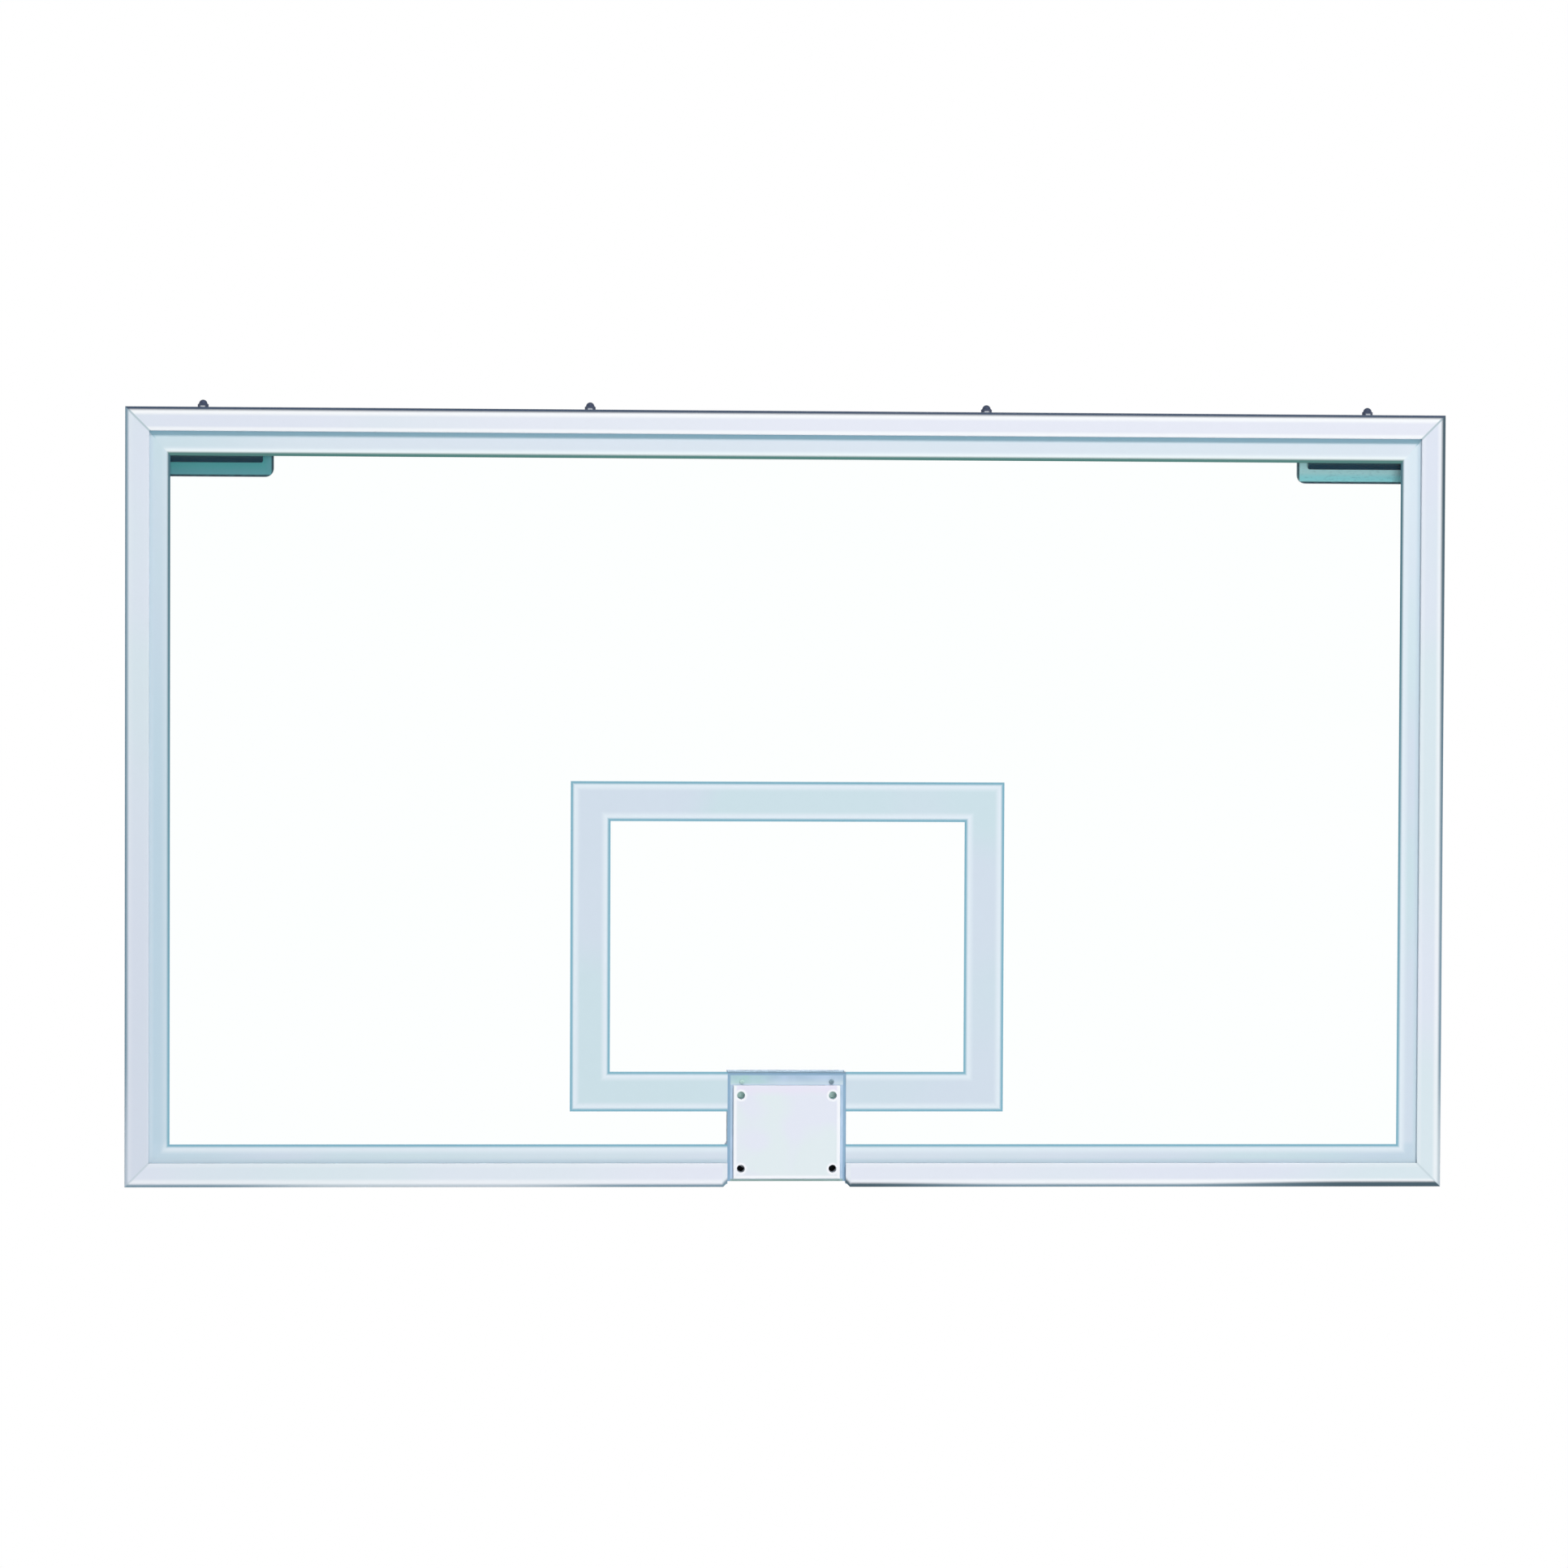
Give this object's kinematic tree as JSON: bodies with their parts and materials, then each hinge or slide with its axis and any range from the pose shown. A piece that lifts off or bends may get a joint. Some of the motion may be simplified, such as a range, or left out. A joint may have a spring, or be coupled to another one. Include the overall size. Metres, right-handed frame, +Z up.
{
  "type": "basketball backboard",
  "caption": "Clear glass basketball backboard in a mitred white frame, with printed border and target lines, a bolt-on rim block set in the lower edge and slotted hangers at the upper corners.",
  "frame": {"origin": "middle of the four mast bolt holes, on the rear face of the back plate", "axes": "+X along the board's width, -Y out of the playing face, +Z up"},
  "size_m": [1.822, 0.0672, 1.0841],
  "materials": {
    "clear_glass": "clear, polished, faintly green at the edge",
    "white_print": "opaque white print on the front of the glass",
    "frame_paint": "satin white powder coat",
    "mount_paint": "satin white powder coat",
    "bracket_paint": "satin grey paint",
    "black_steel": "black oxide",
    "seal_rubber": "matt grey",
    "cap_plastic": "satin white",
    "key_alloy": "as cast",
    "plated_steel": "zinc plated"
  },
  "bodies": {
    "board": {"anchor_bar": "plated_steel", "anchor_screws": "plated_steel", "back_plate": "mount_paint", "back_plate_bolts": "plated_steel", "back_plate_washers": "plated_steel", "border_line": "white_print", "bottom_left_corner_key": "key_alloy", "bottom_left_gasket": "seal_rubber", "bottom_left_rail": "frame_paint", "bottom_right_corner_key": "key_alloy", "bottom_right_gasket": "seal_rubber", "bottom_right_rail": "frame_paint", "corner_key_screws": "plated_steel", "glass_pane": "clear_glass", "goal_box": "mount_paint", "goal_box_weld": "mount_paint", "hanger_bolts": "plated_steel", "hanger_nuts": "plated_steel", "hanger_washers": "plated_steel", "left_end_cap": "cap_plastic", "left_gasket": "seal_rubber", "left_hanger_plate": "bracket_paint", "left_rail": "frame_paint", "mast_weld_nuts": "plated_steel", "notch_strip": "seal_rubber", "rail_plate_nuts": "plated_steel", "right_end_cap": "cap_plastic", "right_gasket": "seal_rubber", "right_hanger_plate": "bracket_paint", "right_rail": "frame_paint", "rim_face_plate": "mount_paint", "rim_weld_nuts": "plated_steel", "target_line": "white_print", "top_angle": "bracket_paint", "top_bolts": "plated_steel", "top_cap_nuts": "plated_steel", "top_gasket": "seal_rubber", "top_left_corner_key": "key_alloy", "top_rail": "frame_paint", "top_right_corner_key": "key_alloy", "top_sleeves": "plated_steel", "top_washers": "plated_steel"},
    "left_bar": {"left_nut_bar": "black_steel"},
    "right_bar": {"right_nut_bar": "black_steel"}
  },
  "joints": [
    {"name": "left_nut_bar_slide", "type": "slide", "parent": "board", "child": "left_bar", "axis": [1, 0, 0], "range_m": [-0.012, 0.012]},
    {"name": "right_nut_bar_slide", "type": "slide", "parent": "board", "child": "right_bar", "axis": [1, 0, 0], "range_m": [-0.012, 0.012]}
  ]
}
